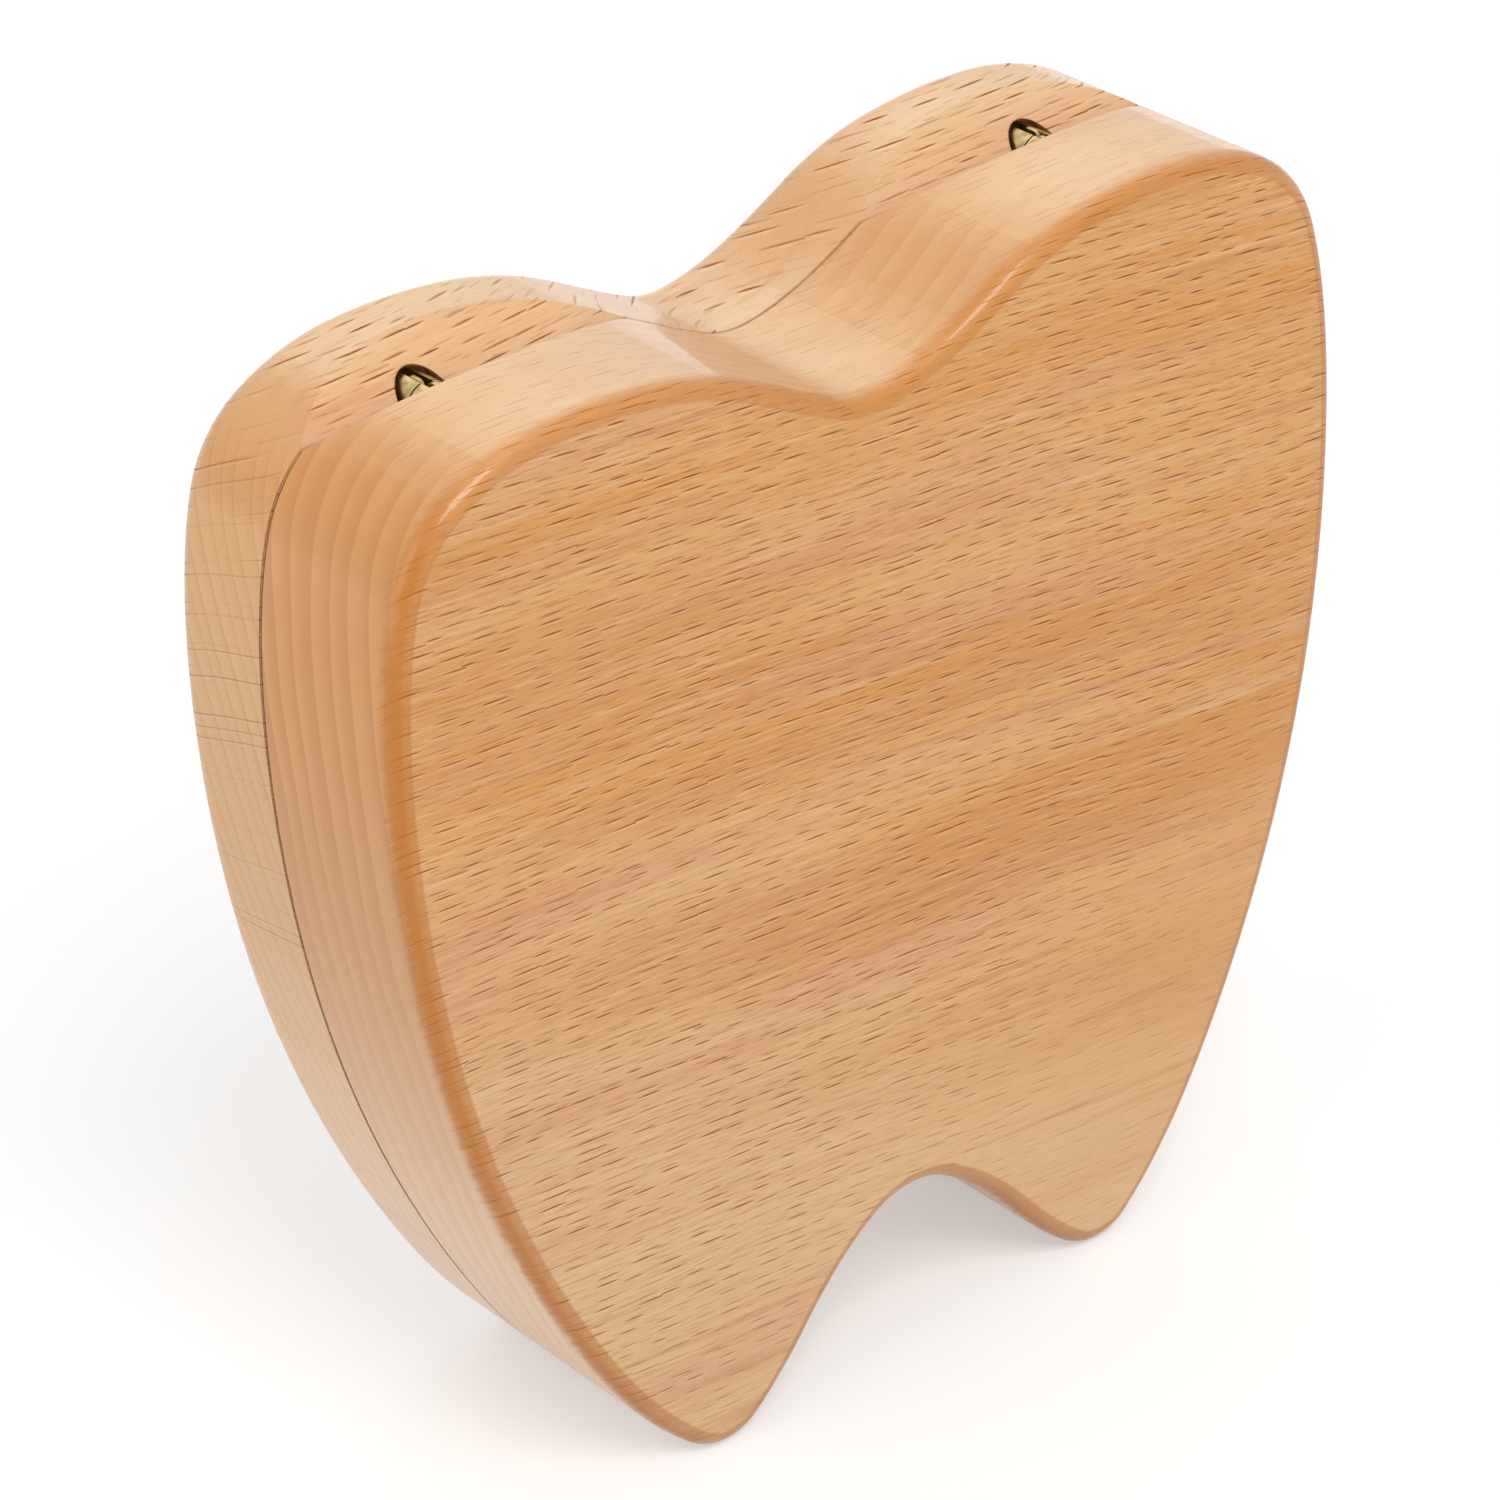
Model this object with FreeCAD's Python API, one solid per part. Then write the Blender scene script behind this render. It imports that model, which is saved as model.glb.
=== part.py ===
import FreeCAD, Part
import math
import os
from FreeCAD import Vector

# A keepsake box for milk teeth: two tooth-shaped beech halves on concealed barrel hinges.
# It stands on its root tips. X runs across the front, Y from the front to the back, Z is up.
# All lengths are in millimetres.

# Beech halves
tooth_width = 120.0
tooth_height = 121.25
front_thickness = 20.4
back_thickness = 14.4
seam_gap = 0.2
front_roundover = 2.0
back_roundover = 3.5
groove_depth = 4.9
groove_run = 6.0
groove_overrun_share = 1.6
cut_overrun = 1.0
roundover_limit_share = 0.85

# Half of the outline, from the valley of the crown round to the notch between the roots:
# shares of half the width and of the height
outline_shares = [
    (0.0, 0.913), (0.171, 0.940), (0.330, 0.979), (0.570, 1.0), (0.775, 0.988), (0.921, 0.940),
    (0.982, 0.855), (1.0, 0.719), (0.958, 0.502), (0.835, 0.287), (0.686, 0.132), (0.569, 0.048),
    (0.419, 0.0), (0.310, 0.0335), (0.156, 0.118), (0.0, 0.1575),
]

# Oval of pockets in the back half, one for each milk tooth, and the recess over it in the front half
oval_height = 66.0
pocket_oval_width = 86.0
pocket_oval_height = 65.0
pocket_count = 20
pocket_radius = 4.5
pocket_depth = 8.5
lid_recess_width = 98.0
lid_recess_height = 76.0
lid_recess_depth = 12.0

# Glass vial with its cork, lying along X in a recess inside the oval
vial_radius = 4.5
vial_length = 30.4
vial_wall = 0.6
vial_base = 0.9
vial_shoulder_length = 1.3
vial_neck_radius = 3.5
vial_neck_length = 2.0
vial_lip_radius = 4.25
vial_lip_length = 2.2
cork_length = 9.6
cork_inner_radius = 2.35
cork_outer_radius = 3.75
cork_clearance = 0.03
cork_travel = 5.5
vial_recess_depth = 8.0
vial_recess_rise = 10.0
lie_gap = 0.1
recess_side_gap = 0.4
recess_end_gap = 0.5

# Plastic tweezers, lying along X below the vial
tweezers_length = 47.0
tweezers_width = 10.8
tweezers_thickness = 3.0
tweezers_recess_depth = 4.0
tweezers_recess_drop = 9.8
tweezers_recess_side_gap = 0.9

# Upper half of the tweezers from the joined end to the tip, as shares of the length and half the width
tweezers_outer_shares = [
    (0.0, 0.39), (0.024, 0.45), (0.12, 0.60), (0.353, 0.97), (0.60, 1.0), (0.942, 0.985), (1.0, 0.77),
]
tweezers_inner_shares = [(0.60, 0.745), (0.346, 0.71), (0.155, 0.42), (0.086, 0.255), (0.068, 0.0)]

# Hollow between the two recesses for a fingertip
finger_radius = 6.5
finger_depth = 6.0

# Disc magnets, flush with the mating faces in the roots
magnet_radius = 3.0
magnet_thickness = 2.0
magnet_spacing = 50.0
magnet_height = 13.5
seat_clearance = 0.02
seat_bottom_gap = 0.2

# Concealed barrel hinges, one in each lobe of the crown
hinge_spacing = 77.0
barrel_radius = 2.5
barrel_length = 9.0
barrel_chamfer = 0.4
barrel_mouth_gap = 0.5
barrel_mouth_depth = 3.6
barrel_drop = 0.6
axis_rise = 3.4
opening_angle = 135.0
leaf_thickness = 0.45
leaf_side_gap = 0.05
leaf_eye_radius = 0.7
leaf_tail_radius = 0.4
leaf_heel_reach = 0.9
pivot_inset = 0.8
pivot_drop = 1.6
tail_reach = 2.2
tail_drop = 1.9
pin_radius = 0.35
pin_clearance = 0.05
pin_seat = 0.5
peg_length = 0.35
leaf_slot_depth = 3.8

# Places worked out from the sizes above
BACK = 1
FRONT = -1
total_thickness = front_thickness + seam_gap + back_thickness
seam_y = front_thickness + seam_gap / 2 - total_thickness / 2
groove_z = tooth_height - groove_depth
barrel_z = groove_z - barrel_drop
axis_z = barrel_z + axis_rise
slot_half = leaf_thickness + 2 * leaf_side_gap
leaf_arm = math.hypot(pivot_inset, pivot_drop)
vial_z = oval_height + vial_recess_rise
tweezers_z = oval_height - tweezers_recess_drop
cork_slope = (cork_outer_radius - cork_inner_radius) / cork_length
vial_mouth_radius = vial_neck_radius - vial_wall
cork_depth = (vial_mouth_radius - cork_clearance - cork_inner_radius) / cork_slope
cork_stand = cork_length - cork_depth
vial_recess_length = vial_length + cork_stand + cork_travel + 2 * recess_end_gap
vial_recess_width = 2 * (vial_radius + recess_side_gap)
tweezers_recess_length = tweezers_length + 2 * recess_end_gap
tweezers_recess_width = tweezers_width + 2 * tweezers_recess_side_gap


def mating_y(half):
    """Y of the face where a half meets the other."""
    return seam_y + half * seam_gap / 2


def outer_y(half):
    """Y of the outer face of a half."""
    return half * total_thickness / 2


def disc_cut(half, x, z, radius, depth):
    """Round blind cut, square to the mating face of a half."""
    start = Vector(x, mating_y(half) - half * cut_overrun, z)
    return Part.makeCylinder(radius, depth + cut_overrun, start, Vector(0, half, 0))


def box_cut(half, z, length, width, depth):
    """Rectangular blind cut, centred on X = 0 in the mating face of a half."""
    near = mating_y(half) - half * cut_overrun
    far = mating_y(half) + half * depth
    corner = Vector(-length / 2, min(near, far), z - width / 2)
    return Part.makeBox(length, depth + cut_overrun, width, corner)


def oval_edge(width, height):
    """Ellipse round the middle of the box, in the plane of the seam, starting on its longer axis."""
    middle = Vector(0, seam_y, oval_height)
    end = Vector(width / 2, seam_y, oval_height)
    top = Vector(0, seam_y, oval_height + height / 2)
    longer, shorter = (end, top) if width >= height else (top, end)
    return Part.Ellipse(longer, shorter, middle).toShape()


def tooth_points():
    """Points round the tooth in the plane Y = 0, from the valley of the crown down the right side."""
    right = [Vector(x * tooth_width / 2, 0, z * tooth_height) for x, z in outline_shares]
    left = [Vector(-point.x, 0, point.z) for point in reversed(right[1:-1])]
    return right + left


def corner_arc(start, corner, end):
    """Arc from start to end that leaves towards a corner equally far from both and arrives from it."""
    half_chord = (end - start).Length / 2
    middle = (start + end) / 2
    rise = corner - middle
    lean = math.atan2(rise.Length, half_chord)
    rise.normalize()
    return Part.Arc(start, middle + rise * half_chord * math.tan(lean / 2), end).toShape()


def arc_pair(start, start_way, end, end_way):
    """Two arcs from start to end that run smoothly into each other and have the given ways at their ends."""
    chord = end - start
    both_ways = start_way + end_way
    spread = 2 - 2 * start_way.dot(end_way)
    lean = chord.dot(both_ways)
    reach = (math.sqrt(lean * lean + spread * chord.dot(chord)) - lean) / spread
    first_corner = start + start_way * reach
    last_corner = end - end_way * reach
    middle = (first_corner + last_corner) / 2
    return [corner_arc(start, first_corner, middle), corner_arc(middle, last_corner, end)]


def tooth_edges():
    """Closed outline of the tooth in the plane Y = 0, as arcs that run smoothly into each other."""
    points = tooth_points()
    curve = Part.BSplineCurve()
    curve.interpolate(points, PeriodicFlag=True)
    ways = [curve.tangent(curve.parameter(point))[0] for point in points]
    edges = []
    for index, point in enumerate(points):
        onward = (index + 1) % len(points)
        edges += arc_pair(point, ways[index], points[onward], ways[onward])
    lowest = min(edge.optimalBoundingBox(False, False).ZMin for edge in edges)
    for edge in edges:
        edge.translate(Vector(0, 0, -lowest))
    return edges


def tooth_blank(half, thickness, roundover):
    """Solid half before its cuts, with its outer edge rounded over as far as the root tips allow."""
    outline = tooth_edges()
    tightest_radius = min(edge.Curve.Radius for edge in outline)
    radius = min(roundover, roundover_limit_share * tightest_radius)
    face = Part.Face(Part.Wire(outline))
    face.translate(Vector(0, outer_y(half), 0))
    blank = face.extrude(Vector(0, -half * thickness, 0))
    rim = [edge for edge in blank.Edges if abs(edge.BoundBox.YMax - edge.BoundBox.YMin) < seat_clearance]
    rim = [edge for edge in rim if abs(edge.BoundBox.YMin - outer_y(half)) < seat_clearance]
    return blank.makeFillet(radius, rim)


def groove_cut(half):
    """Prism that leaves the half's facet of the V-groove over the crown."""
    rise = groove_depth * groove_overrun_share
    run = groove_run * groove_overrun_share
    corners = [(0, 0), (run, rise), (-cut_overrun, rise), (-cut_overrun, 0)]
    start_x = -tooth_width
    points = [Vector(start_x, mating_y(half) + half * y, groove_z + z) for y, z in corners]
    face = Part.Face(Part.makePolygon(points + points[:1]))
    return face.extrude(Vector(2 * tooth_width, 0, 0))


def pocket_places():
    """Middles of the tooth pockets, evenly spaced round their oval in two arches."""
    ring = oval_edge(pocket_oval_width, pocket_oval_height)
    return ring.discretize(Number=2 * pocket_count + 1)[1::2]


def hardware_cuts(half):
    """Seats for the hinge barrels, wider at the mouth, and for the magnets."""
    cuts = []
    for side in (-1, 1):
        hinge_x = side * hinge_spacing / 2
        cuts.append(disc_cut(half, hinge_x, barrel_z, barrel_radius + seat_clearance,
                             barrel_length + seat_bottom_gap))
        cuts.append(disc_cut(half, hinge_x, barrel_z, barrel_radius + barrel_mouth_gap, barrel_mouth_depth))
        cuts.append(disc_cut(half, side * magnet_spacing / 2, magnet_height,
                             magnet_radius + seat_clearance, magnet_thickness))
    return cuts


def back_half():
    """Thinner half, with the tooth pockets and the two recesses."""
    cuts = [groove_cut(BACK)] + hardware_cuts(BACK)
    for place in pocket_places():
        cuts.append(disc_cut(BACK, place.x, place.z, pocket_radius, pocket_depth))
    cuts.append(box_cut(BACK, vial_z, vial_recess_length, vial_recess_width, vial_recess_depth))
    cuts.append(box_cut(BACK, tweezers_z, tweezers_recess_length, tweezers_recess_width,
                        tweezers_recess_depth))
    cuts.append(disc_cut(BACK, 0, oval_height, finger_radius, finger_depth))
    return tooth_blank(BACK, back_thickness, back_roundover).cut(cuts)


def front_half():
    """Thicker half: the lid, with one oval recess over the pockets."""
    recess = Part.Face(Part.Wire(oval_edge(lid_recess_width, lid_recess_height)))
    recess.translate(Vector(0, mating_y(FRONT) + cut_overrun - seam_y, 0))
    recess = recess.extrude(Vector(0, -lid_recess_depth - cut_overrun, 0))
    cuts = [groove_cut(FRONT), recess] + hardware_cuts(FRONT)
    return tooth_blank(FRONT, front_thickness, front_roundover).cut(cuts)


def magnet(half, side):
    """Disc magnet flush with the mating face."""
    middle = Vector(side * magnet_spacing / 2, mating_y(half), magnet_height)
    return Part.makeCylinder(magnet_radius, magnet_thickness, middle, Vector(0, half, 0))


def hinge_point(half, side, x, inset, drop):
    """Point of a hinge: x inwards from its middle, inset from the seam, drop below its axis."""
    return Vector(side * (hinge_spacing / 2 - x), seam_y + half * inset, axis_z - drop)


def hinge_rod(half, side, inset, drop, radius, x_start, x_end):
    """Round rod along X through a hinge."""
    start = hinge_point(half, side, x_start, inset, drop)
    end = hinge_point(half, side, x_end, inset, drop)
    return Part.makeCylinder(radius, abs(x_end - x_start), start, end - start)


def peg_groove(half, side, x_start, x_end):
    """Arc slot in a cheek of a barrel, along which the peg of the other half's leaf slides."""
    radius_gap = pin_radius + pin_clearance
    start = math.atan2(pivot_drop, -pivot_inset)
    sweep = math.radians(opening_angle)
    middle_inset = pivot_inset + tail_reach
    middle_drop = pivot_drop + tail_drop

    def spot(radius, angle):
        inset = middle_inset + radius * math.cos(angle)
        return hinge_point(half, side, x_start, inset, middle_drop + radius * math.sin(angle))

    def arc(radius, first, last):
        return Part.Arc(spot(radius, first), spot(radius, (first + last) / 2), spot(radius, last))

    def cap(angle, onward):
        inside = spot(leaf_arm - radius_gap, angle)
        outside = spot(leaf_arm + radius_gap, angle)
        beyond = spot(leaf_arm, angle)
        along = spot(leaf_arm, angle + onward * radius_gap / leaf_arm) - beyond
        along.normalize()
        return Part.Arc(inside, beyond + along * radius_gap, outside)

    outline = [arc(leaf_arm - radius_gap, start, start + sweep), cap(start + sweep, 1),
               arc(leaf_arm + radius_gap, start, start + sweep), cap(start, -1)]
    wire = Part.Wire(Part.__sortEdges__([curve.toShape() for curve in outline]))
    along_x = hinge_point(half, side, x_end, 0, 0) - hinge_point(half, side, x_start, 0, 0)
    return Part.Face(wire).extrude(along_x)


def barrel(half, side):
    """Brass barrel: slotted for the leaves, with a pivot hole in one cheek and a peg groove in the other."""
    start = Vector(side * hinge_spacing / 2, mating_y(half), barrel_z)
    body = Part.makeCylinder(barrel_radius, barrel_length, start, Vector(0, half, 0))
    far = mating_y(half) + half * barrel_length
    rim = [edge for edge in body.Edges if abs(edge.CenterOfMass.y - far) < seat_clearance]
    body = body.makeChamfer(barrel_chamfer, rim)
    slot_near = mating_y(half) - half * cut_overrun
    slot_far = seam_y + half * leaf_slot_depth
    corner = Vector(start.x - slot_half, min(slot_near, slot_far), barrel_z - 2 * barrel_radius)
    slot = Part.makeBox(2 * slot_half, abs(slot_far - slot_near), 4 * barrel_radius, corner)
    # The cheek that holds a half's own pivot is on the other side of the hinge from the peg's
    pivot = hinge_rod(half, side, pivot_inset, pivot_drop, pin_radius, -half * slot_half,
                      -half * (slot_half + pin_seat))
    groove = peg_groove(half, side, half * (slot_half - leaf_side_gap),
                        half * (slot_half + peg_length + leaf_side_gap))
    return body.cut([slot, pivot, groove])


def bar(half, side, start, end, radius):
    """Flat bar with round ends in the plane of a leaf, from one place to another, given as inset and drop."""
    x_near = -half * leaf_side_gap
    x_far = -half * (leaf_side_gap + leaf_thickness)
    ends = [hinge_rod(half, side, place[0], place[1], radius, x_near, x_far) for place in (start, end)]
    along = hinge_point(half, side, x_near, *end) - hinge_point(half, side, x_near, *start)
    across = along.cross(Vector(1, 0, 0))
    across.normalize()
    first = hinge_point(half, side, x_near, *start)
    last = hinge_point(half, side, x_near, *end)
    edge = across * radius
    corners = [first + edge, last + edge, last - edge, first - edge]
    web = Part.Face(Part.makePolygon(corners + corners[:1]))
    web = web.extrude(hinge_point(half, side, x_far, *start) - first)
    return web.fuse(ends)


def leaf(half, side):
    """Leaf pivoted in its own half's barrel, with a heel and a peg that slides in the other half's barrel."""
    pivot = (pivot_inset, pivot_drop)
    heel = (pivot_inset + leaf_heel_reach, pivot_drop)
    centre = (0, 2 * pivot_drop)
    tail = (-tail_reach, 2 * pivot_drop + tail_drop)
    plate = bar(half, side, pivot, centre, leaf_eye_radius)
    plate = plate.fuse(bar(half, side, pivot, heel, leaf_eye_radius))
    plate = plate.fuse(bar(half, side, centre, tail, leaf_tail_radius))
    x_far = -half * (leaf_side_gap + leaf_thickness)
    plate = plate.fuse(hinge_rod(half, side, tail[0], tail[1], pin_radius, -half * leaf_side_gap,
                                 x_far - half * peg_length))
    x_near = half * cut_overrun
    x_out = -half * (slot_half + cut_overrun)
    pivot_hole = hinge_rod(half, side, pivot[0], pivot[1], pin_radius + pin_clearance, x_near, x_out)
    # The centre pin is fast in the back leaf and turns in the front leaf
    centre_radius = pin_radius if half == BACK else pin_radius + pin_clearance
    centre_hole = hinge_rod(half, side, centre[0], centre[1], centre_radius, x_near, x_out)
    return plate.removeSplitter().cut([pivot_hole, centre_hole])


def pivot_pin(half, side):
    """Pin fast in one cheek of a barrel, on which that half's leaf turns."""
    return hinge_rod(half, side, pivot_inset, pivot_drop, pin_radius, -half * leaf_side_gap,
                     -half * (slot_half + pin_seat))


def centre_pin(side):
    """Pin that joins the two leaves of a hinge where they cross."""
    reach = leaf_side_gap + leaf_thickness
    return hinge_rod(BACK, side, 0, 2 * pivot_drop, pin_radius, -reach, reach)


def revolved(profile, start):
    """Solid turned about a line along X from a profile of places along the line and radii."""
    points = [Vector(x, radius, 0) for x, radius in profile]
    face = Part.Face(Part.makePolygon(points + points[:1]))
    solid = face.revolve(Vector(0, 0, 0), Vector(1, 0, 0), 360)
    solid.translate(start)
    return solid


def vial_start():
    """Middle of the vial's base, where it lies on the lower wall and the floor of its recess."""
    lying_y = mating_y(BACK) + vial_recess_depth - vial_radius - lie_gap
    lying_z = vial_z - vial_recess_width / 2 + vial_radius + lie_gap
    return Vector(-vial_recess_length / 2 + recess_end_gap, lying_y, lying_z)


def vial():
    """Blown glass vial with a shoulder, a neck and a lip."""
    lip_start = vial_length - vial_lip_length
    neck_start = lip_start - vial_neck_length
    shoulder_start = neck_start - vial_shoulder_length
    inner_radius = vial_radius - vial_wall
    profile = [
        (0, 0), (0, vial_radius - vial_wall), (vial_wall, vial_radius), (shoulder_start, vial_radius),
        (neck_start, vial_neck_radius), (lip_start, vial_neck_radius), (lip_start, vial_lip_radius),
        (vial_length, vial_lip_radius), (vial_length, vial_mouth_radius), (neck_start, vial_mouth_radius),
        (shoulder_start, inner_radius), (vial_base, inner_radius), (vial_base, 0),
    ]
    return revolved(profile, vial_start())


def cork():
    """Tapered stopper in the mouth of the vial."""
    profile = [(0, 0), (0, cork_inner_radius), (cork_length, cork_outer_radius), (cork_length, 0)]
    return revolved(profile, vial_start() + Vector(vial_length - cork_depth, 0, 0))


def tweezers():
    """One-piece tweezers lying flat in their recess, tips to the left."""
    upper = tweezers_outer_shares + tweezers_inner_shares
    lower = [(along, -across) for along, across in reversed(upper[:-1])]
    floor_y = mating_y(BACK) + tweezers_recess_depth - lie_gap
    lying_z = tweezers_z - tweezers_recess_width / 2 + tweezers_width / 2 + lie_gap
    points = []
    for along, across in upper + lower:
        x = tweezers_length / 2 - along * tweezers_length
        points.append(Vector(x, floor_y, lying_z + across * tweezers_width / 2))
    face = Part.Face(Part.makePolygon(points + points[:1]))
    return face.extrude(Vector(0, -tweezers_thickness, 0))


def pair(make):
    """Left and right pieces of one kind as one shape."""
    return Part.makeCompound([make(-1), make(1)])


def all_nodes():
    """Every node of the box by name."""
    nodes = {"back_half": back_half(), "front_half": front_half()}
    for half, half_name in ((BACK, "back"), (FRONT, "front")):
        for side, side_name in ((-1, "left"), (1, "right")):
            nodes[f"barrel_{half_name}_{side_name}"] = barrel(half, side)
            nodes[f"leaf_{half_name}_{side_name}"] = leaf(half, side)
            nodes[f"magnet_{half_name}_{side_name}"] = magnet(half, side)
        nodes[f"pivot_pins_{half_name}"] = pair(lambda side: pivot_pin(half, side))
    nodes["centre_pins"] = pair(centre_pin)
    nodes["vial"] = vial()
    nodes["cork"] = cork()
    nodes["tweezers"] = tweezers()
    return nodes


os.makedirs("parts", exist_ok=True)
for name, shape in all_nodes().items():
    shape.exportStep(f"parts/{name}.step")
    box = shape.BoundBox
    print(f"{name}: {len(shape.Solids)} solid(s), valid {shape.isValid()}, volume {shape.Volume:.2f},"
          f" x {box.XMin:.2f} {box.XMax:.2f} y {box.YMin:.2f} {box.YMax:.2f} z {box.ZMin:.2f} {box.ZMax:.2f}")
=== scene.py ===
import math

import bmesh
import bpy
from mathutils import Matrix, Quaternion, Vector, noise


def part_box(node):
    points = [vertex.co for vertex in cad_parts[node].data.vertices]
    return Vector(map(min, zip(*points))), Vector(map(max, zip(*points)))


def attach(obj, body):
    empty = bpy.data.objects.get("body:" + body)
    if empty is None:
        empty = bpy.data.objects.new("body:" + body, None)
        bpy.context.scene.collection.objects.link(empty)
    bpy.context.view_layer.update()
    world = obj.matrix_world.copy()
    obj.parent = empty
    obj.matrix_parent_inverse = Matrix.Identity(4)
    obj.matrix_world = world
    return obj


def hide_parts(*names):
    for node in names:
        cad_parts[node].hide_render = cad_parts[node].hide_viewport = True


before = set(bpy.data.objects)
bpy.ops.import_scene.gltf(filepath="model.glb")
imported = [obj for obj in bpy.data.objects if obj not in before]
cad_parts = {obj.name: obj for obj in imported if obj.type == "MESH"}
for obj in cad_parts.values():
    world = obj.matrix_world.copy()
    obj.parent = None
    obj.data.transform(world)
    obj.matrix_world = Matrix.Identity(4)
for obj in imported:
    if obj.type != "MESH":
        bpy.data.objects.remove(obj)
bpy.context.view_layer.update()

MM = 0.001
WHITE = (1.0, 1.0, 1.0, 1.0)


def linear(red, green, blue):
    """Colour written in the usual 0 to 255 screen values, as scene-linear RGBA."""
    def channel(value):
        share = value / 255.0
        if share <= 0.04045:
            return share / 12.92
        return ((share + 0.055) / 1.055) ** 2.4

    return (channel(red), channel(green), channel(blue), 1.0)


# Camera of the photograph: aimed at the middle of the box, with a small roll. Angles are in degrees,
# lens and sensor in millimetres, the rest in metres
TARGET = Vector((0.0, 5.9, 61.5)) * MM
CAMERA_DISTANCE = 589.5 * MM
CAMERA_AZIMUTH = -38.7
CAMERA_ELEVATION = 30.3
CAMERA_ROLL = 2.96
CAMERA_LENS = 139.4
CAMERA_SENSOR = 36.0
CAMERA_CLIP_START = CAMERA_DISTANCE / 100
CAMERA_CLIP_END = 60.0

# Studio: lengths in metres, the rest shares of white
FLOOR_SIZE = 6.0
FLOOR_GREY = 0.62
FLOOR_GLOW = 0.42
# The floor keeps the whole shadow up to the first distance from the box, and is white from the second
FLOOR_FADE = (0.25, 0.7)
WORLD_STRENGTH = 0.62
# Softboxes: azimuth and elevation as for the camera, distance and size in metres, power in watts
LAMPS = {
    "key": (-18.0, 53.0, 1.2, 0.5, 6.2),
    "left_fill": (-95.0, 25.0, 1.4, 0.8, 3.0),
    "top_back": (150.0, 50.0, 1.2, 1.0, 1.4),
}

# Wood of the two halves: lengths in millimetres, angles in degrees, the rest shares.
# Each board is cut from a log whose pith runs along the grain at the depth and the height given.
FRONT_WOOD = {
    "grain_tilt": -5.5, "pith_depth": 220.0, "pith_height": 62.0, "shift": (40.0, 3.0, 11.0),
    "outer_face": -17.5, "edge_band": 0.9, "plain_corner": 0.7, "warmth": 0.4,
    "light": linear(229, 175, 109), "deep": linear(214, 147, 76), "orange": linear(221, 148, 54),
    # The tops' paler colour and its share are a painted sheen
    "top_paleness": 0.6, "top_pale": linear(226, 190, 146),
    "end_light": linear(221, 158, 86), "end_deep": linear(211, 145, 72),
    "ring_pitch": 2.9, "ring_shade": 0.5, "ring_line": 0.0, "ring_span": (0.0, 0.4),
    "fleck_cell": (4.1, 1.1), "fleck_length": 3.7, "fleck_thickness": 0.165,
    "top_flecks": 0.4, "end_rays": 0.04, "ray_lean": 0.6, "ray_fade": 0.0,
}
BACK_WOOD = {
    "grain_tilt": 2.0, "pith_depth": 193.0, "pith_height": 32.0, "shift": (230.0, 41.0, 87.0),
    "outer_face": 17.5, "edge_band": 0.2, "plain_corner": 0.0, "warmth": 0.0,
    "light": linear(228, 192, 148), "deep": linear(221, 177, 126), "orange": linear(223, 170, 110),
    # The tops' paler colour and its share are a painted sheen
    "top_paleness": 0.2, "top_pale": linear(228, 188, 140),
    "end_light": linear(228, 177, 116), "end_deep": linear(220, 165, 102),
    "ring_pitch": 1.9, "ring_shade": 0.14, "ring_line": 0.22, "ring_span": (0.3, 0.7),
    "fleck_cell": (4.4, 1.25), "fleck_length": 4.1, "fleck_thickness": 0.18,
    "top_flecks": 1.0, "end_rays": 0.5, "ray_lean": 0.0, "ray_fade": 1.0,
}

# Noises of the wood: grains in a millimetre along the grain, out from the pith and round it;
# then detail and roughness
WOOD_NOISES = {
    "wide": ((0.006, 0.05, 0.075), 2.0, 0.5),
    "orange": ((0.009, 0.15, 0.22), 3.0, 0.6),
    "rosy": ((0.014, 0.09, 0.13), 2.0, 0.5),
    "streak": ((0.020, 0.5, 0.75), 2.0, 0.5),
    "thread": ((0.10, 2.6, 3.8), 3.0, 0.65),
    "fibre": ((0.35, 4.0, 6.5), 2.0, 0.6),
    "ragged": ((0.3, 0.5, 1.6), 3.0, 0.5),
    "ring_wave": ((0.004, 0.05, 0.022), 2.0, 0.5),
}
GRAIN_WANDER_NOISE = ((0.011, 0.03, 0.02), 1.0)
GRAIN_WANDER = 6.0

# Spans, here and below, run from where a feature is absent to where it is full.
# These go by the squared part of the surface's direction along Y, which is 1 on the faces
FACE_SPAN = (0.55, 0.95)
FACET_SPANS = ((0.35, 0.5), (0.9, 0.8))
OFF_EDGE_SPAN = (0.4, 0.05)
ROUNDED_SPAN = (0.9995, 0.98)
# These go by the squared part along X, which is 1 where the grain ends
END_SPAN = (0.02, 0.4)
PLAIN_END_SPAN = (0.15, 0.7)
SLOPE_SHADE_SPAN = (0.0, 0.24)
DEEP_OIL_SPAN = (0.0, 0.4)
SEAM_SHADE_END_SPAN = (0.3, 0.7)
# These go by the part along Z
TOP_SPAN = (0.6, 1.0)
RISING_SPAN = (0.0, 0.5)

# Bands and streaks of the figure: the noise and its span, their strength and colour
WIDE_SPAN = (0.38, 0.62)
ORANGE_SPAN = (0.47, 0.68)
ORANGE_STRENGTH = 0.7
STREAKS = [
    ("rosy", (0.50, 0.72), 0.55, linear(220, 158, 116)),
    ("streak", (0.55, 0.80), 0.5, linear(194, 122, 58)),
    ("streak", (0.45, 0.24), 0.4, linear(238, 194, 144)),
]
FINE_STREAKS = [
    ("thread", (0.50, 0.70), 0.32, linear(186, 118, 54)),
    ("thread", (0.48, 0.30), 0.34, linear(244, 206, 160)),
    ("fibre", (0.45, 0.75), 0.25, linear(192, 132, 80)),
]
FINE_OFF_FACES = 0.5
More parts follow.
